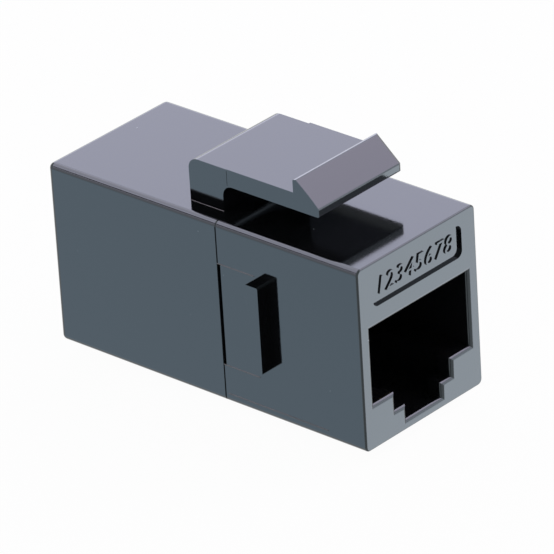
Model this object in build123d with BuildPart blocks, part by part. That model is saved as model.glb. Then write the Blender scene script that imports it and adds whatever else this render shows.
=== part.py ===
"""Snap-in inline coupler with an eight-way modular socket at each end.

Two black moulded housings clip together round a small circuit board. On each
side of the board sits a contact block that carries eight sprung contacts.
All sizes are in millimetres. The origin is the middle of the bounding box's
bottom: X is the width, -Y is the front port and +Z is the latch side.
"""

from build123d import *
from math import cos, radians, sin, tan
import os

os.makedirs("parts", exist_ok=True)

# Body
side_wall = 1.275
body_height = 16.4
front_length = 15.0
rear_length = 18.4
edge_round = 0.5
front_edge_round = 0.15
seam_chamfer = 0.07

# Fits
seat_clearance = 0.05
contact_clearance = 0.05

# Port opening, the same at both ends, heights above the underside
port_width = 11.95
port_height = 6.7
port_floor = 3.95
lead_in = 0.38
tab_step_width = 6.9
tab_step_floor = 2.25
tab_notch_width = 4.3
tab_notch_floor = 0.9
catch_wall = 1.4
tab_pocket_width = 7.6
tab_pocket_depth = 9.0

# Room for the board and the contact blocks
board_thickness = 1.6
board_gap = 1.0
chamber_step = 0.1
chamber_floor = 2.9
chamber_top = 13.7
shelf_wall = 2.2

# Contacts
contact_count = 8
contact_pitch = 1.016
contact_width = 0.45
contact_thickness = 0.3
bend_radius = 0.85
spring_angle = 20.0
spring_seat = 0.6
tail_row_pitch = 1.4
tail_bend = 0.4
tail_beyond = 0.5
jog_start = 0.7
board_hole = 0.7

# Contact blocks
block_wall = 2.6
nose_setback = 0.3
rail_width = 1.3
comb_depth = 1.0
comb_room = 0.25

# Spigot that joins the housings
spigot_wall = 0.5
spigot_end_gap = 0.1
barb_width = 2.0
barb_height = 0.3
barb_length = 1.2
barb_setback = 0.3
barb_spacing = 7.0
side_gap = 0.3
side_gap_bottom = 3.45
side_gap_top = 12.65

# Panel fit: the latch and the underside catch hold one side of a panel's
# ledge, and the side ribs stop against the other
panel_ledge_depth = 7.9
panel_slot = 1.8
rib_reach = 1.2
rib_thickness = 1.37
rib_bottom = 4.6
rib_height = 7.86
rib_round = 0.15
catch_height = 1.2
catch_width = 10.0
catch_flat = 0.5
catch_length = 1.9

# Latch, moulded in one with the rear housing
latch_width = 10.26
latch_offset = -0.35
mould_step = 0.07
post_setback = 0.6
post_thickness = 3.6
arm_gap = 2.45
arm_thickness = 1.53
arm_outer_round = 1.0
arm_inner_round = 1.1
hook_height = 1.14
ridge_rise = 0.07
ridge_setback = 0.36
hook_length = 2.66
hook_nose = 0.77
hook_bulge = 0.05
ridge_round = 0.15
nose_round = 0.2
hook_end_round = 0.48

# Label recess over the front port
label_width = 11.0
label_bottom = 12.4
label_height = 2.9
label_depth = 0.28
label_round = 0.6

# Places that follow from the sizes
body_width = port_width + 2 * side_wall
body_length = front_length + rear_length
half_length = body_length / 2
body_bottom = catch_height
body_top = body_bottom + body_height
parting = front_length - half_length
ledge = panel_ledge_depth - half_length

port_roof = port_floor + port_height
block_depth = half_length - board_thickness / 2 - board_gap
port_depth = block_depth - block_wall
spigot_length = front_length - port_depth - spigot_end_gap
chamber_width = port_width + 2 * chamber_step
chamber_height = chamber_top - chamber_floor
chamber_middle = (chamber_top + chamber_floor) / 2

core_radius = bend_radius - contact_thickness / 2
land_radius = bend_radius + contact_thickness / 2
nose_height = port_roof + land_radius
nose_depth = shelf_wall + nose_setback + land_radius
top_run = nose_height + bend_radius
shelf_top = nose_height + land_radius
slot_width = contact_width + 2 * contact_clearance
shelf_width = port_width - 2 * seat_clearance
land_edge = contact_count / 2 * contact_pitch - (contact_pitch - slot_width) / 2
spring_start = nose_depth - bend_radius * sin(radians(spring_angle))
spring_height = nose_height - bend_radius * cos(radians(spring_angle))
spring_end = spring_height - (port_depth + spring_seat - spring_start) * tan(radians(spring_angle))
comb_height = port_roof - spring_end + contact_thickness / 2 + comb_room

# Planes: across a port's face, seen from outside, and the same end's side
# view, whose first axis runs into the port and whose second is the height
front_face = Plane(origin=(0, -half_length, body_bottom), x_dir=(1, 0, 0), z_dir=(0, -1, 0))
rear_face = Plane(origin=(0, half_length, body_bottom), x_dir=(-1, 0, 0), z_dir=(0, 1, 0))
front_side = Plane(origin=(0, -half_length, body_bottom), x_dir=(0, 1, 0), z_dir=(1, 0, 0))
rear_side = Plane(origin=(0, half_length, body_bottom), x_dir=(0, -1, 0), z_dir=(-1, 0, 0))


def body_box(face, length):
    """A housing's outer block, from a port's face to the parting plane."""
    with BuildPart() as block:
        with BuildSketch(face):
            with Locations((0, body_height / 2)):
                Rectangle(body_width, body_height)
        extrude(amount=-length)
        fillet(block.edges().filter_by(Axis.Y), edge_round)
        chamfer(block.faces().sort_by_distance((0, parting, 0))[0].edges(), seam_chamfer)
    return block.part


def port_cavity(face, side):
    """The space of one port: mouth, plug tunnel, tab pocket and shelf slot."""
    with BuildPart() as cavity:
        with BuildSketch(face):
            with Locations((0, port_floor)):
                Rectangle(port_width, port_height, align=(Align.CENTER, Align.MIN))
        extrude(amount=-port_depth)
        with BuildSketch(face):
            with Locations((0, tab_step_floor)):
                Rectangle(tab_step_width, port_floor - tab_step_floor, align=(Align.CENTER, Align.MIN))
            with Locations((0, tab_notch_floor)):
                Rectangle(tab_notch_width, port_floor - tab_notch_floor, align=(Align.CENTER, Align.MIN))
        extrude(amount=-catch_wall)
        with BuildSketch(face.offset(-catch_wall)):
            with Locations((0, tab_notch_floor)):
                Rectangle(tab_pocket_width, port_floor - tab_notch_floor, align=(Align.CENTER, Align.MIN))
        extrude(amount=catch_wall - tab_pocket_depth)
        with BuildSketch(side):
            with Locations((shelf_wall, port_roof)):
                slot_height = shelf_top + seat_clearance - port_roof
                Rectangle(port_depth - shelf_wall, slot_height, align=(Align.MIN, Align.MIN))
        extrude(amount=port_width / 2, both=True)
    return cavity.part


def ring_section(margin):
    """Outline of the board chamber, grown by a margin on every side."""
    with BuildSketch() as section:
        with Locations((0, chamber_middle)):
            Rectangle(chamber_width + 2 * margin, chamber_height + 2 * margin)
    return section.sketch


def barbs(reach, spare):
    """Snap barbs over and under the spigot, or with spare the pockets for them."""
    with BuildPart() as wedges:
        with BuildSketch(Plane.YZ.offset(-barb_width / 2 - spare)):
            tip = parting - spigot_length + barb_setback - spare
            heel = parting - spigot_length + barb_setback + barb_length + spare
            for sign in (1, -1):
                seat = body_bottom + chamber_middle + sign * (chamber_height / 2 + reach)
                peak = seat + sign * (barb_height + spare)
                with BuildLine():
                    Polyline((tip, seat), (heel, peak), (heel, seat), close=True)
                make_face()
        extrude(amount=barb_width + 2 * spare)
    return [wedges.part.moved(Location((x, 0, 0))) for x in (-barb_spacing / 2, barb_spacing / 2)]


def rounding_waste(edge_plane, radius, reach):
    """What a rounding takes off an edge that runs through the plane's origin, for a reach both ways."""
    with BuildPart() as waste:
        with BuildSketch(edge_plane):
            with Locations((-radius, -radius)):
                Rectangle(2 * radius, 2 * radius, align=(Align.MIN, Align.MIN))
                Circle(radius, mode=Mode.SUBTRACT)
        extrude(amount=reach, both=True)
    return waste.part


with BuildPart() as front_housing:
    add(body_box(front_face, front_length))
    fillet(front_housing.faces().sort_by(Axis.Y)[0].edges(), front_edge_round)
    add(port_cavity(front_face, front_side), mode=Mode.SUBTRACT)
    fillet(front_housing.faces().sort_by(Axis.Y)[0].inner_wires()[0].edges(), lead_in)
    # counterbore that takes the rear housing's spigot
    with BuildSketch(front_face.offset(-port_depth)):
        add(ring_section(spigot_wall + seat_clearance))
    extrude(amount=port_depth - front_length, mode=Mode.SUBTRACT)
    add(barbs(spigot_wall + seat_clearance, seat_clearance), mode=Mode.SUBTRACT)
    # open gap along both sides of the parting line
    with BuildSketch(Plane.XZ.offset(-parting)):
        with Locations((0, body_bottom + side_gap_bottom)):
            Rectangle(2 * body_width, side_gap_top - side_gap_bottom, align=(Align.CENTER, Align.MIN))
    extrude(amount=side_gap, mode=Mode.SUBTRACT)
    # recess for a label
    with BuildSketch(front_face):
        with Locations((0, label_bottom)):
            RectangleRounded(label_width, label_height, label_round, align=(Align.CENTER, Align.MIN))
    extrude(amount=-label_depth, mode=Mode.SUBTRACT)
    # side ribs that stop against the panel
    for side_sign in (-1, 1):
        with BuildSketch(Plane.YZ.offset(side_sign * body_width / 2)):
            with Locations((ledge + panel_slot, body_bottom + rib_bottom)):
                RectangleRounded(rib_thickness, rib_height, rib_round, align=(Align.MIN, Align.MIN))
        extrude(amount=side_sign * rib_reach)
    # fixed catch under the body
    with BuildSketch(Plane.YZ):
        with BuildLine():
            Polyline(
                (ledge, body_bottom),
                (ledge, body_bottom - catch_height),
                (ledge - catch_flat, body_bottom - catch_height),
                (ledge - catch_length, body_bottom),
                close=True,
            )
        make_face()
    extrude(amount=catch_width / 2, both=True)
front_housing.part.label = "front_housing"
export_step(front_housing.part, "parts/front_housing.step")


with BuildPart() as rear_housing:
    add(body_box(rear_face, rear_length))
    fillet(rear_housing.faces().sort_by(Axis.Y)[-1].edges(), edge_round)
    # spigot that enters the front housing
    with BuildSketch(Plane.XZ.offset(-parting)):
        with Locations((0, body_bottom)):
            add(ring_section(spigot_wall))
    extrude(amount=spigot_length)
    add(barbs(spigot_wall, 0))
    # chamber for the board and the rear contact block
    with BuildSketch(rear_face.offset(-port_depth)):
        add(ring_section(0))
    extrude(amount=port_depth - rear_length - spigot_length, mode=Mode.SUBTRACT)
    add(port_cavity(rear_face, rear_side), mode=Mode.SUBTRACT)
    fillet(rear_housing.faces().sort_by(Axis.Y)[-1].inner_wires()[0].edges(), lead_in)
    # latch: post, arm and hook in one side view
    arm_under = body_top + arm_gap
    arm_top = arm_under + arm_thickness
    post_front = parting + post_setback
    post_rear = post_front + post_thickness
    ridge = (ledge - ridge_setback, arm_top + hook_height + ridge_rise)
    nose_top = (ledge - hook_length, arm_under + hook_nose)
    latch_plane = Plane.YZ.offset(latch_offset)
    with BuildSketch(latch_plane) as latch_view:
        with BuildLine():
            Polyline(
                nose_top,
                (ledge - hook_length, arm_under),
                (post_front, arm_under),
                (post_front, body_top - edge_round),
                (post_rear, body_top - edge_round),
                (post_rear, arm_top - mould_step),
                (parting, arm_top - mould_step),
                (parting, arm_top),
                (ledge, arm_top),
                (ledge, arm_top + hook_height),
                ridge,
            )
            SagittaArc(ridge, nose_top, -hook_bulge)
        make_face()
        fillet(latch_view.vertices().sort_by_distance((post_rear, arm_top))[0], arm_outer_round)
        fillet(latch_view.vertices().sort_by_distance((post_front, arm_under))[0], arm_inner_round)
        fillet(latch_view.vertices().sort_by_distance((ledge, ridge[1]))[0:2], ridge_round)
        fillet(latch_view.vertices().sort_by_distance(nose_top)[0], nose_round)
        fillet(latch_view.vertices().sort_by_distance((ledge - hook_length, arm_under))[0], nose_round)
    extrude(amount=latch_width / 2 - mould_step, both=True)
    # in front of the parting line the mould leaves the latch a step wider
    with BuildSketch(latch_plane):
        add(latch_view.sketch_local)
        with Locations((parting, arm_top)):
            Rectangle(half_length, 2 * arm_gap, align=(Align.MAX, Align.CENTER), mode=Mode.INTERSECT)
    extrude(amount=latch_width / 2, both=True)
    # the hook's right-hand end is rounded all round, its left-hand end is square
    hook_end = latch_offset + latch_width / 2
    slope = (0, nose_top[0] - ridge[0], nose_top[1] - ridge[1])
    reach = 1.5 * hook_length
    for corner, direction in (
        ((hook_end, ledge, arm_top + reach), (0, 0, 1)),
        ((hook_end, ledge - hook_length, arm_under + reach), (0, 0, -1)),
        ((hook_end, *ridge), slope),
    ):
        edge_plane = Plane(origin=corner, x_dir=(1, 0, 0), z_dir=direction)
        add(rounding_waste(edge_plane, hook_end_round, reach), mode=Mode.SUBTRACT)
rear_housing.part.label = "rear_housing"
export_step(rear_housing.part, "parts/rear_housing.step")


with BuildPart() as circuit_board:
    with BuildSketch(Plane.XZ.offset(-board_thickness / 2)) as board_outline:
        with Locations((0, body_bottom + chamber_middle)):
            Rectangle(chamber_width - 2 * seat_clearance, chamber_height - 2 * seat_clearance)
        # two rows of holes take the tails of both blocks, turn about
        with Locations((0, body_bottom + top_run - tail_row_pitch / 2)):
            with GridLocations(contact_pitch, tail_row_pitch, contact_count, 2):
                Circle(board_hole / 2, mode=Mode.SUBTRACT)
    extrude(amount=board_thickness)
circuit_board.part.label = "circuit_board"
export_step(circuit_board.part, "parts/circuit_board.step")


def shelf_slice(side, middle, radius, thickness):
    """A slice of the contact block's shelf, with a round nose of the radius."""
    with BuildPart() as piece:
        with BuildSketch(side.offset(middle)):
            with Locations((nose_depth, nose_height)):
                Circle(radius)
                Rectangle(port_depth - nose_depth, 2 * radius, align=(Align.MIN, Align.CENTER))
        extrude(amount=thickness / 2, both=True)
    return piece.part


def make_contact_block(face, side, name):
    """Carrier with a shelf over the plug and a wall that guides the contacts."""
    with BuildPart() as block:
        # wall between the plug tunnel and the board
        with BuildSketch(face.offset(-port_depth)):
            with Locations((0, chamber_middle)):
                Rectangle(chamber_width - 2 * seat_clearance, chamber_height - 2 * seat_clearance)
        extrude(amount=-block_wall)
        # side rails that hold the wall off the board
        with BuildSketch(face.offset(-block_depth)):
            rail_place = chamber_width / 2 - seat_clearance - rail_width / 2
            with Locations((-rail_place, chamber_middle), (rail_place, chamber_middle)):
                Rectangle(rail_width, chamber_height - 2 * seat_clearance)
        extrude(amount=-board_gap)
        # slots that let the contacts through to the board
        with BuildSketch(face.offset(-port_depth)):
            for number in range(contact_count):
                drop = tail_row_pitch if number % 2 else 0
                slot_height = contact_thickness + 2 * contact_clearance + drop
                slot_top = top_run + contact_thickness / 2 + contact_clearance
                with Locations((contact_place(number), slot_top)):
                    Rectangle(slot_width, slot_height, align=(Align.CENTER, Align.MAX))
        extrude(amount=-block_wall, mode=Mode.SUBTRACT)
        # comb that guides their free ends
        with BuildSketch(face.offset(-port_depth)):
            with Locations((0, port_roof - comb_height / 2)):
                with GridLocations(contact_pitch, comb_height, contact_count, 1):
                    Rectangle(slot_width, comb_height)
        extrude(amount=-comb_depth, mode=Mode.SUBTRACT)
        # shelf: a core that the contacts wrap round, with lands between them
        add(shelf_slice(side, 0, core_radius, shelf_width))
        for gap in range(1, contact_count):
            middle = (gap - contact_count / 2) * contact_pitch
            add(shelf_slice(side, middle, land_radius, contact_pitch - slot_width))
        edge_width = shelf_width / 2 - land_edge
        for middle in (-land_edge - edge_width / 2, land_edge + edge_width / 2):
            add(shelf_slice(side, middle, land_radius, edge_width))
    block.part.label = name
    export_step(block.part, f"parts/{name}.step")


def contact_place(number):
    """Distance of a contact from the port's middle."""
    return (number - (contact_count - 1) / 2) * contact_pitch


def make_contact(side, number, name):
    """One sprung contact: tail, run over the shelf, hairpin and spring."""
    tail_row = top_run - (tail_row_pitch if number % 2 else 0)
    tail_end = (half_length + board_thickness / 2 + tail_beyond, tail_row)
    jog_end = port_depth + jog_start + (top_run - tail_row)
    with BuildPart() as contact:
        with BuildLine(side.offset(contact_place(number))) as path:
            if number % 2:
                run = FilletPolyline(
                    tail_end,
                    (jog_end, tail_row),
                    (port_depth + jog_start, top_run),
                    (nose_depth, top_run),
                    radius=tail_bend,
                )
            else:
                run = Line(tail_end, (nose_depth, top_run))
            hairpin = JernArc(run @ 1, run % 1, bend_radius, 180 - spring_angle)
            spring_run = port_depth + spring_seat - spring_start
            PolarLine(hairpin @ 1, spring_run / cos(radians(spring_angle)), direction=hairpin % 1)
        with BuildSketch(Plane(origin=run @ 0, z_dir=run % 0, x_dir=side.z_dir)):
            Rectangle(contact_width, contact_thickness)
        sweep(path=path.wire())
    contact.part.label = name
    export_step(contact.part, f"parts/{name}.step")


for end, face, side in (("front", front_face, front_side), ("rear", rear_face, rear_side)):
    make_contact_block(face, side, f"{end}_contact_block")
    for number in range(contact_count):
        make_contact(side, number, f"{end}_contact_{number + 1}")
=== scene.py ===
"""Looks of the snap-in inline coupler: finishes, contact numbers, mould lines and stage."""

import math

import bpy
from mathutils import Matrix, Vector


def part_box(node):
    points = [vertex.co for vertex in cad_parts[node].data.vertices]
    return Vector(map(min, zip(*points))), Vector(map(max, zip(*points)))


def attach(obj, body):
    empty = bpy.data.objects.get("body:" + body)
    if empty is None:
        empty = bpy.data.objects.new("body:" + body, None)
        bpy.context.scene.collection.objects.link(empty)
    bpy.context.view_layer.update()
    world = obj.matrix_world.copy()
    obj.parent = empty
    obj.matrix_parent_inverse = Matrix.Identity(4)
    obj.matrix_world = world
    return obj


bl_info = {
    "name": "Inline coupler looks",
    "version": (1, 0, 0),
    "blender": (4, 5, 0),
    "location": "3D View > Sidebar > Coupler",
    "description": "Finishes, contact numbers, mould lines and stage of a snap-in inline coupler",
    "category": "Object",
}

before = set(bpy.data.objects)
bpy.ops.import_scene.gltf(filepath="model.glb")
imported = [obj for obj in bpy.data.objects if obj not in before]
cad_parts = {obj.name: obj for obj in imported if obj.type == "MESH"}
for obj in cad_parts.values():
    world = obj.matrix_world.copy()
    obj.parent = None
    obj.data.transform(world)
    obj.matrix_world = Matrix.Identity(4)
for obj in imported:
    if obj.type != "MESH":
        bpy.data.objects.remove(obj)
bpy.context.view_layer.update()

MM = 0.001
BODY = "root"
ENDS = ("front", "rear")
CONTACTS = 8

# Places read from the frame, in metres
FRONT_LOW, FRONT_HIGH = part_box("front_housing")
REAR_LOW, REAR_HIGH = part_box("rear_housing")
BODY_TOP = FRONT_HIGH.z
BODY_FOOT = REAR_LOW.z
BODY_SIDE = REAR_HIGH.x
PORT_FACE = FRONT_LOW.y
PARTING = FRONT_HIGH.y

# Sockets of the Mix node when it mixes colours
MIX_FACTOR, MIX_FIRST, MIX_SECOND, MIX_RESULT = 0, 6, 7, 2

# Finish of the plastic
SPECK_SIZE = 0.07       # radius of a dust speck, as a share of its cell
DUST_COLOUR = (0.25, 0.27, 0.28)
HAZE_FACTOR = 1.35      # the plastic's haze, against its plain colour
HAZE_ROUGHNESS = 0.02   # how far the haze moves the gloss's roughness, either way
PAINTED_HIGHLIGHT_FACTOR = 9       # painted highlight of a fine raised line, against the plastic's plain colour

# Numerals
FONT_SIZE = 1.38                # font size that gives a numeral of height 1
STROKE_THINNING = 0.02 * MM     # what is taken off all round a numeral's strokes
NUMERAL_STEPS = 8               # steps in each curve of a numeral
NUMERAL_SINK = 0.01 * MM        # how deep a numeral's foot is in the recess floor

# Mould lines: how deep they are sunk and how thick three of them are, as shares of the radius
BEAD_SINK = 0.25
PARTING_SHARE = 0.6
FOOT_SHARE = 0.8
SEAM_SHARE = 0.5
BEAD_STEPS = 2      # steps in a quarter of a line's round section

# Ends and places of the mould lines
BASE_LINE_START = 0.3 * MM      # from the parting line
PARTING_START = 0.3 * MM        # over the body's foot
PARTING_END = 0.6 * MM          # under the body's top
FOOT_LINE_SINK = 0.07 * MM      # from the latch's side
SEAM_START = 2.5 * MM           # over the body's top
SEAM_END = 3.8 * MM             # over the body's top

WHITE = (1, 1, 1, 1)
BLACK = (0, 0, 0, 1)
SKY_COLOUR = (0.94, 0.97, 1, 1)

# Softboxes that also light the matt surfaces, and cards that show only in the gloss.
# Each has a name, a direction from the object, a width and height in metres, a level and a
# colour. Each card stands where one of the faces mirrors it to the camera.
SOFTBOX_DISTANCE = 0.35
SOFTBOXES = (
    ("back_light", (0.649, 0.604, 0.47), 0.26, 0.20, 2.05, (0.79, 0.75, 1.0)),
    ("key_light", (0.649, -0.378, 0.70), 0.20, 0.15, 3.3, (1.0, 0.80, 0.98)),
)
CARD_DISTANCE = 0.45
CARDS = (
    ("overhead_card", (0.649, 0.03, 0.76), 0.25, 0.34, 1.2, (0.9, 0.85, 1.0)),
    ("front_card", (0.649, -0.74, 0.18), 0.22, 0.30, 1.6, (0.9, 0.88, 1.0)),
    ("left_card_high", (-0.05, 0.604, 0.795), 0.46, 0.16, 2.7, (0.97, 0.84, 1.0)),
    ("left_card_middle", (-0.605, 0.604, 0.518), 0.20, 0.20, 1.8, (1.0, 0.82, 1.0)),
    ("left_card_low", (-0.79, 0.604, 0.12), 0.18, 0.22, 0.5, (1.0, 0.78, 1.0)),
    ("rear_card", (0.649, 0.75, 0.16), 0.30, 0.14, 0.5, (0.85, 0.92, 1.0)),
    ("right_card", (0.94, -0.10, 0.30), 0.18, 0.20, 1.2, (1.0, 0.90, 1.0)),
    ("port_card", (0.649, -0.604, -0.462), 0.18, 0.24, 2.65, (0.88, 0.92, 1.0)),
    ("side_card", (-0.649, 0.604, -0.462), 0.18, 0.24, 0.75, (0.4, 0.7, 1.0)),
)
# Black cards that keep the white world out of parts of the gloss: name, direction and width
FLAG_DISTANCE = 0.40
FLAGS = (
    ("rear_flag", (-0.649, 0.604, 0.462), 0.06),
    ("front_flag", (-0.649, -0.604, -0.462), 0.07),
)

SENSOR_WIDTH = 36           # in millimetres, as Blender's lenses are
CLIP_RANGE = (0.01, 10)     # nearest and farthest that the camera sees, in metres


class CouplerPlastic(bpy.types.PropertyGroup):
    """Moulded plastic of the housings."""

    colour: bpy.props.FloatVectorProperty(
        name="Colour", description="Colour of the plastic under its gloss", subtype="COLOR",
        size=3, min=0, max=1, default=(0.0040, 0.0044, 0.0050))
    tint: bpy.props.FloatVectorProperty(
        name="Gloss tint", description="Tint of the plastic's gloss", subtype="COLOR",
        size=3, min=0, max=1, default=(0.78, 0.92, 1.0))
    index: bpy.props.FloatProperty(
        name="Refractive index", description="Sets how strong the gloss is", default=1.6,
        min=1, max=3)
    roughness: bpy.props.FloatProperty(
        name="Roughness", description="Mean roughness of the gloss", default=0.08, min=0, max=1)
    grain: bpy.props.FloatProperty(
        name="Grain", description="Width of the mould's fine grain", default=0.22 * MM,
        unit="LENGTH", precision=5)
    grain_depth: bpy.props.FloatProperty(
        name="Grain depth", description="Depth of the mould's fine grain", default=0.0012 * MM,
        unit="LENGTH", precision=6)
    speck_spacing: bpy.props.FloatProperty(
        name="Speck spacing", description="Size of the cells that may hold a speck of dust",
        default=0.9 * MM, unit="LENGTH", precision=5)
    speck_share: bpy.props.FloatProperty(
        name="Speck share", description="Share of those cells that hold a speck", default=0.05,
        min=0, max=1, subtype="FACTOR")


class CouplerNumbers(bpy.types.PropertyGroup):
    """Raised contact numbers over the front port."""

    height: bpy.props.FloatProperty(
        name="Height", description="Height of a numeral", default=1.6 * MM, unit="LENGTH",
        precision=5)
    spacing: bpy.props.FloatProperty(
        name="Spacing", description="Distance from one numeral to the next", default=1.2 * MM,
        unit="LENGTH", precision=5)
    rise: bpy.props.FloatProperty(
        name="Rise", description="How far a numeral stands off the recess floor",
        default=0.13 * MM, unit="LENGTH", precision=5)
    slope: bpy.props.FloatProperty(
        name="Slope", description="Slant of the numerals", default=0.22)
    recess_depth: bpy.props.FloatProperty(
        name="Recess depth", description="Depth of the label recess", default=0.28 * MM,
        unit="LENGTH", precision=5)
    shift: bpy.props.FloatProperty(
        name="Shift", description="From the body's middle to the row's middle", default=-0.2 * MM,
        unit="LENGTH", precision=5)
    recess_drop: bpy.props.FloatProperty(
        name="Recess drop", description="From the body's top to the recess's middle",
        default=2.55 * MM, unit="LENGTH", precision=5)


class CouplerLines(bpy.types.PropertyGroup):
    """Fine lines that the mould's joints leave."""

    radius: bpy.props.FloatProperty(
        name="Radius", description="Radius of the bead that a mould joint leaves",
        default=0.05 * MM, unit="LENGTH", precision=6)
    slider_top: bpy.props.FloatProperty(
        name="Slider top", description="Upper line of the side slider over the body's foot",
        default=12.65 * MM, unit="LENGTH", precision=5)
    slider_bottom: bpy.props.FloatProperty(
        name="Slider bottom", description="Lower line of the side slider over the body's foot",
        default=3.45 * MM, unit="LENGTH", precision=5)
    slider_length: bpy.props.FloatProperty(
        name="Slider length", description="From the parting line to the side rib",
        default=3.93 * MM, unit="LENGTH", precision=5)
    base_line: bpy.props.FloatProperty(
        name="Base line", description="Height of the long line near the body's foot",
        default=0.85 * MM, unit="LENGTH", precision=5)
    base_length: bpy.props.FloatProperty(
        name="Base line length", description="Length of the long line near the body's foot",
        default=11.0 * MM, unit="LENGTH", precision=5)
    latch_side: bpy.props.FloatProperty(
        name="Latch side", description="The latch's left side, from the body's middle",
        default=-5.48 * MM, unit="LENGTH", precision=5)
    seam_place: bpy.props.FloatProperty(
        name="Latch seam", description="From the parting line to the seam on the latch's side",
        default=0.02 * MM, unit="LENGTH", precision=5)
    latch_front: bpy.props.FloatProperty(
        name="Latch post front", description="From the parting line to the latch post's front",
        default=0.6 * MM, unit="LENGTH", precision=5)
    latch_rear: bpy.props.FloatProperty(
        name="Latch post rear", description="From the parting line to the latch post's rear",
        default=4.2 * MM, unit="LENGTH", precision=5)


class CouplerStage(bpy.types.PropertyGroup):
    """Floor, light and camera."""

    floor_colour: bpy.props.FloatVectorProperty(
        name="Floor colour", description="Colour of the floor", subtype="COLOR", size=3,
        min=0, max=1, default=(0.92, 0.92, 0.93))
    floor_width: bpy.props.FloatProperty(
        name="Floor width", description="Width of the square floor", default=3.0, unit="LENGTH")
    floor_glow: bpy.props.FloatProperty(
        name="Floor whiteness", description="Share of the floor that shows as plain white",
        default=0.97, min=0, max=1, subtype="FACTOR")
    sky: bpy.props.FloatProperty(
        name="Sky level", description="Level of the even light all round", default=0.5, min=0)
    azimuth: bpy.props.FloatProperty(
        name="Azimuth", description="Camera's angle round the object", subtype="ANGLE",
        default=math.radians(-47.083))
    elevation: bpy.props.FloatProperty(
        name="Elevation", description="Camera's angle over the horizon", subtype="ANGLE",
        default=math.radians(27.543))
    roll: bpy.props.FloatProperty(
        name="Roll", description="Camera's tilt about its own axis", subtype="ANGLE",
        default=math.radians(-3.581))
    distance: bpy.props.FloatProperty(
        name="Distance", description="From the camera to the object's middle", default=509.17 * MM,
        unit="LENGTH")
    aim_height: bpy.props.FloatProperty(
        name="Aim height", description="Height over the body's foot that the camera aims at",
        default=8.0 * MM, unit="LENGTH", precision=5)
    shift_right: bpy.props.FloatProperty(
        name="Shift right", description="Camera's shift to its right", default=1.042 * MM,
        unit="LENGTH", precision=5)
    shift_up: bpy.props.FloatProperty(
        name="Shift up", description="Camera's shift upwards", default=-0.193 * MM,
        unit="LENGTH", precision=5)
    lens: bpy.props.FloatProperty(
        name="Lens", description="Focal length in millimetres on a 36 mm sensor", default=405.5)


class CouplerSettings(bpy.types.PropertyGroup):
    """All the sizes and colours that a user would change."""

    plastic: bpy.props.PointerProperty(type=CouplerPlastic)
    numbers: bpy.props.PointerProperty(type=CouplerNumbers)
    lines: bpy.props.PointerProperty(type=CouplerLines)
    stage: bpy.props.PointerProperty(type=CouplerStage)


def add_node(tree, kind, **values):
    """A shader node with its properties or input sockets set."""
    node = tree.nodes.new(kind)
    for key, value in values.items():
        if hasattr(node, key):
            setattr(node, key, value)
        else:
            node.inputs[key.replace("_", " ")].default_value = value
    return node


def new_material(name):
    """An empty node material with its Principled shader and object coordinates."""
    material = bpy.data.materials.new(name)
    material.use_nodes = True
    tree = material.node_tree
    shader = tree.nodes["Principled BSDF"]
    place = tree.nodes.new("ShaderNodeTexCoord").outputs["Object"]
    return material, tree, shader, place


def noise(tree, place, width, detail=2.0):
    """Noise whose features are about the given width in metres."""
    node = add_node(tree, "ShaderNodeTexNoise", Scale=1 / width, Detail=detail)
    tree.links.new(place, node.inputs["Vector"])
    return node.outputs["Fac"]


def remap(tree, value, low, high):
    """A 0 to 1 value stretched to low to high."""
    node = add_node(tree, "ShaderNodeMapRange")
    node.inputs["To Min"].default_value = low
    node.inputs["To Max"].default_value = high
    tree.links.new(value, node.inputs["Value"])
    return node.outputs["Result"]


def blend_colours(tree, factor, first, second):
    """Two colours mixed by a factor socket."""
    node = add_node(tree, "ShaderNodeMix", data_type="RGBA")
    node.inputs[MIX_FIRST].default_value = (*first, 1)
    node.inputs[MIX_SECOND].default_value = (*second, 1)
    tree.links.new(factor, node.inputs[MIX_FACTOR])
    return node.outputs[MIX_RESULT]


def bump(tree, shader, height, depth):
    """Fine relief of the given depth in metres."""
    node = add_node(tree, "ShaderNodeBump", Distance=depth, Strength=1.0)
    tree.links.new(height, node.inputs["Height"])
    tree.links.new(node.outputs["Normal"], shader.inputs["Normal"])


def specks(tree, place, spacing, share):
    """A mask of sparse round specks: 1 on a speck, 0 elsewhere."""
    cells = add_node(tree, "ShaderNodeTexVoronoi", Scale=1 / spacing)
    tree.links.new(place, cells.inputs["Vector"])
    near = add_node(tree, "ShaderNodeMath", operation="LESS_THAN")
    near.inputs[1].default_value = SPECK_SIZE
    tree.links.new(cells.outputs["Distance"], near.inputs[0])
    chance = add_node(tree, "ShaderNodeSeparateColor")
    tree.links.new(cells.outputs["Color"], chance.inputs["Color"])
    chosen = add_node(tree, "ShaderNodeMath", operation="LESS_THAN")
    chosen.inputs[1].default_value = share
    tree.links.new(chance.outputs["Red"], chosen.inputs[0])
    mask = add_node(tree, "ShaderNodeMath", operation="MULTIPLY")
    tree.links.new(near.outputs[0], mask.inputs[0])
    tree.links.new(chosen.outputs[0], mask.inputs[1])
    return mask.outputs[0]


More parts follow.
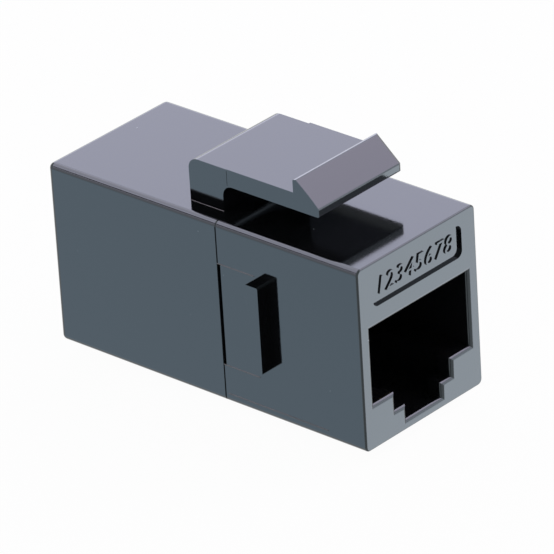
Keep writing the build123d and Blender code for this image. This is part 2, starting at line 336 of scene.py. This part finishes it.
def housing_plastic(settings):
    """Black glossy moulded plastic with a fine grain, faint haze and sparse dust."""
    material, tree, shader, place = new_material("housing_plastic")
    colour = tuple(settings.colour)
    lighter = tuple(HAZE_FACTOR * channel for channel in colour)
    haze = noise(tree, place, 3.0 * MM, 3.0)
    dust = specks(tree, place, settings.speck_spacing, settings.speck_share)
    tone = blend_colours(tree, haze, colour, lighter)
    dusty = add_node(tree, "ShaderNodeMix", data_type="RGBA")
    dusty.inputs[MIX_SECOND].default_value = (*DUST_COLOUR, 1)
    tree.links.new(dust, dusty.inputs[MIX_FACTOR])
    tree.links.new(tone, dusty.inputs[MIX_FIRST])
    tree.links.new(dusty.outputs[MIX_RESULT], shader.inputs["Base Color"])
    smoothest, roughest = settings.roughness - HAZE_ROUGHNESS, settings.roughness + HAZE_ROUGHNESS
    tree.links.new(remap(tree, haze, smoothest, roughest), shader.inputs["Roughness"])
    shader.inputs["IOR"].default_value = settings.index
    shader.inputs["Specular Tint"].default_value = (*settings.tint, 1)
    bump(tree, shader, noise(tree, place, settings.grain), settings.grain_depth)
    return material


def rubbed_plastic(settings):
    """The housing's plastic painted paler on fine raised lines: a painted highlight."""
    material, tree, shader, place = new_material("rubbed_plastic")
    colour = tuple(settings.colour)
    paler = tuple(PAINTED_HIGHLIGHT_FACTOR * channel for channel in colour)
    patches = noise(tree, place, 0.8 * MM)
    tree.links.new(blend_colours(tree, patches, colour, paler), shader.inputs["Base Color"])
    shader.inputs["Roughness"].default_value = 0.25
    shader.inputs["IOR"].default_value = settings.index
    return material


def seam_black():
    """Near-black matt line: painted shade of a fine gap in the mould's joint."""
    material, tree, shader, place = new_material("seam_black")
    patches = noise(tree, place, 0.3 * MM)
    tree.links.new(blend_colours(tree, patches, (0.002, 0.002, 0.002), (0.008, 0.008, 0.009)),
                   shader.inputs["Base Color"])
    shader.inputs["Roughness"].default_value = 0.8
    shader.inputs["Specular IOR Level"].default_value = 0.1
    return material


def carrier_plastic():
    """Matt black plastic of the contact blocks."""
    material, tree, shader, place = new_material("carrier_plastic")
    grain = noise(tree, place, 0.3 * MM, 3.0)
    tree.links.new(blend_colours(tree, grain, (0.012, 0.012, 0.014), (0.022, 0.022, 0.025)),
                   shader.inputs["Base Color"])
    tree.links.new(remap(tree, grain, 0.45, 0.6), shader.inputs["Roughness"])
    bump(tree, shader, grain, 0.004 * MM)
    return material


def contact_gold():
    """Gold-plated spring wire with faint drawing marks along it."""
    material, tree, shader, place = new_material("contact_gold")
    stretch = add_node(tree, "ShaderNodeMapping")
    stretch.inputs["Scale"].default_value = (8.0, 0.6, 1.0)
    tree.links.new(place, stretch.inputs["Vector"])
    marks = noise(tree, stretch.outputs["Vector"], 0.4 * MM, 3.0)
    tree.links.new(blend_colours(tree, marks, (0.78, 0.56, 0.20), (0.90, 0.70, 0.33)),
                   shader.inputs["Base Color"])
    tree.links.new(remap(tree, marks, 0.16, 0.32), shader.inputs["Roughness"])
    shader.inputs["Metallic"].default_value = 1.0
    return material


def board_laminate():
    """Green solder resist over glass-fibre laminate, with its faint weave."""
    material, tree, shader, place = new_material("board_laminate")
    weave = add_node(tree, "ShaderNodeTexWave", Scale=1 / (1.2 * MM), Distortion=1.5)
    tree.links.new(place, weave.inputs["Vector"])
    threads = weave.outputs["Fac"]
    tree.links.new(blend_colours(tree, threads, (0.012, 0.10, 0.045), (0.02, 0.14, 0.06)),
                   shader.inputs["Base Color"])
    tree.links.new(remap(tree, threads, 0.28, 0.36), shader.inputs["Roughness"])
    bump(tree, shader, threads, 0.003 * MM)
    return material


def finish_node(name, material):
    """Gives a CAD node its finish."""
    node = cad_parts[name]
    for place in node.material_slots:
        place.material = material


def add_piece(name, data, material):
    """A new piece that rides on the body."""
    piece = bpy.data.objects.new(name, data)
    bpy.context.scene.collection.objects.link(piece)
    piece.data.materials.clear()
    piece.data.materials.append(material)
    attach(piece, BODY)
    return piece


class COUPLER_OT_housings(bpy.types.Operator):
    """Gives both housings their moulded black plastic"""

    bl_idname = "coupler.housings"
    bl_label = "Housings"

    def execute(self, context):
        material = housing_plastic(context.scene.coupler.plastic)
        for end in ENDS:
            finish_node(f"{end}_housing", material)
        return {"FINISHED"}


class COUPLER_OT_inner_parts(bpy.types.Operator):
    """Gives the board, the contact blocks and the contacts their finishes"""

    bl_idname = "coupler.inner_parts"
    bl_label = "Inner parts"

    def execute(self, context):
        finish_node("circuit_board", board_laminate())
        carrier, gold = carrier_plastic(), contact_gold()
        for end in ENDS:
            finish_node(f"{end}_contact_block", carrier)
            for number in range(1, CONTACTS + 1):
                finish_node(f"{end}_contact_{number}", gold)
        return {"FINISHED"}


def numeral(text, sizes, middle):
    """One raised numeral as a mesh, its foot just sunk into the recess floor."""
    curve = bpy.data.curves.new(f"numeral_{text}", "FONT")
    curve.body = text
    curve.align_x = "CENTER"
    curve.align_y = "CENTER"
    curve.size = sizes.height * FONT_SIZE
    curve.shear = sizes.slope
    curve.extrude = sizes.rise / 2
    curve.offset = -STROKE_THINNING
    curve.resolution_u = NUMERAL_STEPS
    holder = bpy.data.objects.new(f"numeral_{text}", curve)
    bpy.context.scene.collection.objects.link(holder)
    bpy.context.view_layer.update()
    mesh = bpy.data.meshes.new_from_object(holder)
    bpy.data.objects.remove(holder)
    bpy.data.curves.remove(curve)
    upright = Matrix.Rotation(math.radians(90), 4, "X")
    mesh.transform(Matrix.Translation(middle) @ upright)
    return mesh


class COUPLER_OT_numbers(bpy.types.Operator):
    """Raises the contact numbers 1 to 8 in the recess over the front port"""

    bl_idname = "coupler.numbers"
    bl_label = "Contact numbers"

    def execute(self, context):
        sizes = context.scene.coupler.numbers
        material = bpy.data.materials["housing_plastic"]
        floor = PORT_FACE + sizes.recess_depth
        height = BODY_TOP - sizes.recess_drop
        for number in range(1, CONTACTS + 1):
            across = sizes.shift + (number - (CONTACTS + 1) / 2) * sizes.spacing
            middle = Vector((across, floor - sizes.rise / 2 + NUMERAL_SINK, height))
            mesh = numeral(str(number), sizes, middle)
            add_piece(f"contact_number_{number}", mesh, material)
        return {"FINISHED"}


def bead(name, start, end, radius, material):
    """A fine round bead from one point to another."""
    curve = bpy.data.curves.new(name, "CURVE")
    curve.dimensions = "3D"
    curve.bevel_depth = radius
    curve.bevel_resolution = BEAD_STEPS
    curve.use_fill_caps = True
    line = curve.splines.new("POLY")
    line.points.add(1)
    for point, place in zip(line.points, (start, end)):
        point.co = (*place, 1)
    return add_piece(name, curve, material)


class COUPLER_OT_mould_lines(bpy.types.Operator):
    """Adds the fine lines that the mould's joints leave on the sides, pale ones with a painted
    highlight and dark ones with painted shade
    """

    bl_idname = "coupler.mould_lines"
    bl_label = "Mould lines"

    def execute(self, context):
        sizes = context.scene.coupler.lines
        # dark: the near-black colour on the parting and latch seam lines is painted shade of their
        # gaps
        # pale: the paler colour on the slider, base and foot lines is a painted highlight
        pale, dark = rubbed_plastic(context.scene.coupler.plastic), seam_black()
        sink = BEAD_SINK * sizes.radius
        slider_levels = (("top", sizes.slider_top), ("bottom", sizes.slider_bottom))
        parting_parts = (
            ("low", PARTING_START, sizes.slider_bottom),
            ("high", sizes.slider_top, BODY_TOP - BODY_FOOT - PARTING_END),
        )
        slider_end = PARTING - sizes.slider_length
        for side, sign in (("left", -1), ("right", 1)):
            across = sign * (BODY_SIDE - sink)
            for level, up in slider_levels:
                height = BODY_FOOT + up
                bead(f"slider_line_{side}_{level}", (across, PARTING, height),
                     (across, slider_end, height), sizes.radius, pale)
            height = BODY_FOOT + sizes.base_line
            bead(f"base_line_{side}", (across, PARTING - BASE_LINE_START, height),
                 (across, PARTING - sizes.base_length, height), sizes.radius, pale)
            for part, low, high in parting_parts:
                bead(f"parting_{side}_{part}", (across, PARTING, BODY_FOOT + low),
                     (across, PARTING, BODY_FOOT + high), PARTING_SHARE * sizes.radius, dark)
        # the pale bead along the latch post's foot paints the highlight of the foot's fillet
        across = sizes.latch_side + FOOT_LINE_SINK
        bead("latch_foot_line", (across, PARTING + sizes.latch_front, BODY_TOP),
             (across, PARTING + sizes.latch_rear, BODY_TOP), FOOT_SHARE * sizes.radius, pale)
        across, along = sizes.latch_side + sink, PARTING + sizes.seam_place
        bead("latch_seam", (across, along, BODY_TOP + SEAM_START),
             (across, along, BODY_TOP + SEAM_END), SEAM_SHARE * sizes.radius, dark)
        return {"FINISHED"}


def world_light(level):
    """Even light all round that shows as plain white to the camera and in the gloss."""
    world = bpy.data.worlds.new("studio")
    bpy.context.scene.world = world
    world.use_nodes = True
    tree = world.node_tree
    tree.nodes.clear()
    white = add_node(tree, "ShaderNodeBackground", Color=WHITE, Strength=1.0)
    light = add_node(tree, "ShaderNodeBackground", Color=SKY_COLOUR, Strength=level)
    mix = tree.nodes.new("ShaderNodeMixShader")
    out = tree.nodes.new("ShaderNodeOutputWorld")
    tree.links.new(seen_white(tree), mix.inputs[0])
    tree.links.new(light.outputs[0], mix.inputs[1])
    tree.links.new(white.outputs[0], mix.inputs[2])
    tree.links.new(mix.outputs[0], out.inputs[0])


def seen_white(tree):
    """1 for camera, glossy and transmission rays, otherwise 0."""
    path = tree.nodes.new("ShaderNodeLightPath")
    first = add_node(tree, "ShaderNodeMath", operation="MAXIMUM")
    second = add_node(tree, "ShaderNodeMath", operation="MAXIMUM")
    tree.links.new(path.outputs["Is Camera Ray"], first.inputs[0])
    tree.links.new(path.outputs["Is Glossy Ray"], first.inputs[1])
    tree.links.new(first.outputs[0], second.inputs[0])
    tree.links.new(path.outputs["Is Transmission Ray"], second.inputs[1])
    return second.outputs[0]


def floor_material(colour, whiteness):
    """Pale floor that keeps a soft shadow and shows almost white to the camera."""
    material = bpy.data.materials.new("floor")
    material.use_nodes = True
    tree = material.node_tree
    tree.nodes.clear()
    share = add_node(tree, "ShaderNodeMath", operation="MULTIPLY")
    share.inputs[1].default_value = whiteness
    tree.links.new(seen_white(tree), share.inputs[0])
    diffuse = add_node(tree, "ShaderNodeBsdfDiffuse", Color=(*colour, 1))
    white = add_node(tree, "ShaderNodeEmission", Color=WHITE, Strength=1.0)
    mix = tree.nodes.new("ShaderNodeMixShader")
    out = tree.nodes.new("ShaderNodeOutputMaterial")
    tree.links.new(share.outputs[0], mix.inputs[0])
    tree.links.new(diffuse.outputs[0], mix.inputs[1])
    tree.links.new(white.outputs[0], mix.inputs[2])
    tree.links.new(mix.outputs[0], out.inputs[0])
    return material


def add_square(name, width, material):
    """A level square with its middle at the origin."""
    half = width / 2
    mesh = bpy.data.meshes.new(name)
    corners = [(-half, -half, 0), (half, -half, 0), (half, half, 0), (-half, half, 0)]
    mesh.from_pydata(corners, [], [(0, 1, 2, 3)])
    mesh.materials.append(material)
    square = bpy.data.objects.new(name, mesh)
    bpy.context.scene.collection.objects.link(square)
    return square


def add_floor(settings):
    """A level floor under the foot of the underside catch."""
    material = floor_material(settings.floor_colour, settings.floor_glow)
    floor = add_square("floor", settings.floor_width, material)
    floor.location = (0, 0, FRONT_LOW.z)
    # the gloss sees the white world and the cards under the floor instead of it
    floor.visible_glossy = False


def face_object(holder, middle, direction, distance):
    """Stands a lamp or card off a point in a direction, facing it."""
    away = Vector(direction).normalized()
    holder.location = middle + away * distance
    holder.rotation_mode = "QUATERNION"
    holder.rotation_quaternion = away.to_track_quat("Z", "Y")
    holder.visible_camera = False


def add_softbox(name, direction, distance, width, height, level, colour):
    """A soft rectangular lamp that faces the object, of a given brightness and colour."""
    lamp = bpy.data.lights.new(name, "AREA")
    lamp.shape = "RECTANGLE"
    lamp.size = width
    lamp.size_y = height
    lamp.energy = level * math.pi * width * height
    lamp.color = colour
    holder = bpy.data.objects.new(name, lamp)
    face_object(holder, Vector((0, 0, (BODY_TOP + BODY_FOOT) / 2)), direction, distance)
    bpy.context.scene.collection.objects.link(holder)
    return holder


def add_flag(name, direction, distance, width):
    """A black square card that shows only in the gloss."""
    material, _, shader, _ = new_material(name)
    shader.inputs["Base Color"].default_value = BLACK
    shader.inputs["Specular IOR Level"].default_value = 0
    flag = add_square(name, width, material)
    face_object(flag, Vector((0, 0, BODY_TOP)), direction, distance)
    flag.visible_diffuse = False
    flag.visible_shadow = False


def add_camera(settings):
    """The photograph's camera: a long lens from the front left, above."""
    azimuth, elevation = settings.azimuth, settings.elevation
    level = math.cos(elevation)
    back = Vector((math.sin(azimuth) * level, -math.cos(azimuth) * level, math.sin(elevation)))
    level_right = (-back).cross(Vector((0, 0, 1))).normalized()
    level_up = level_right.cross(-back)
    turn, lean = math.cos(settings.roll), math.sin(settings.roll)
    right = turn * level_right + lean * level_up
    up = -lean * level_right + turn * level_up
    data = bpy.data.cameras.new("camera")
    data.sensor_width = SENSOR_WIDTH
    data.lens = settings.lens
    data.clip_start, data.clip_end = CLIP_RANGE
    camera = bpy.data.objects.new("camera", data)
    aim = Vector((0, 0, BODY_FOOT + settings.aim_height))
    place = aim + back * settings.distance + right * settings.shift_right + up * settings.shift_up
    facing = Matrix((right, up, back)).transposed().to_4x4()
    camera.matrix_world = Matrix.Translation(place) @ facing
    bpy.context.scene.collection.objects.link(camera)
    bpy.context.scene.camera = camera


class COUPLER_OT_stage(bpy.types.Operator):
    """Sets up the floor, the soft studio light and the camera"""

    bl_idname = "coupler.stage"
    bl_label = "Stage"

    def execute(self, context):
        settings = context.scene.coupler.stage
        context.scene.view_settings.view_transform = "Standard"
        world_light(settings.sky)
        add_floor(settings)
        for name, direction, *values in SOFTBOXES:
            add_softbox(name, direction, SOFTBOX_DISTANCE, *values)
        for name, direction, *values in CARDS:
            card = add_softbox(name, direction, CARD_DISTANCE, *values)
            card.visible_diffuse = False
        for name, direction, width in FLAGS:
            add_flag(name, direction, FLAG_DISTANCE, width)
        add_camera(settings)
        return {"FINISHED"}


class COUPLER_PT_panel(bpy.types.Panel):
    """Lists the coupler's pieces in the sidebar"""

    bl_idname = "COUPLER_PT_panel"
    bl_label = "Inline coupler"
    bl_space_type = "VIEW_3D"
    bl_region_type = "UI"
    bl_category = "Coupler"

    def draw(self, context):
        for operator in OPERATORS:
            self.layout.operator(operator.bl_idname)
        for group in ("plastic", "numbers", "lines", "stage"):
            box = self.layout.box()
            box.label(text=group.capitalize())
            settings = getattr(context.scene.coupler, group)
            for key in settings.bl_rna.properties.keys():
                if key not in ("rna_type", "name"):
                    box.prop(settings, key)


OPERATORS = (
    COUPLER_OT_stage,
    COUPLER_OT_housings,
    COUPLER_OT_inner_parts,
    COUPLER_OT_numbers,
    COUPLER_OT_mould_lines,
)
GROUPS = (CouplerPlastic, CouplerNumbers, CouplerLines, CouplerStage, CouplerSettings)
CLASSES = GROUPS + OPERATORS + (COUPLER_PT_panel,)


def register():
    for cls in CLASSES:
        bpy.utils.register_class(cls)
    bpy.types.Scene.coupler = bpy.props.PointerProperty(type=CouplerSettings)


def unregister():
    del bpy.types.Scene.coupler
    for cls in reversed(CLASSES):
        bpy.utils.unregister_class(cls)


def main():
    """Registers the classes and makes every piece."""
    register()
    bpy.ops.coupler.stage()
    bpy.ops.coupler.housings()
    bpy.ops.coupler.inner_parts()
    bpy.ops.coupler.numbers()
    bpy.ops.coupler.mould_lines()


if __name__ == "__main__":
    main()
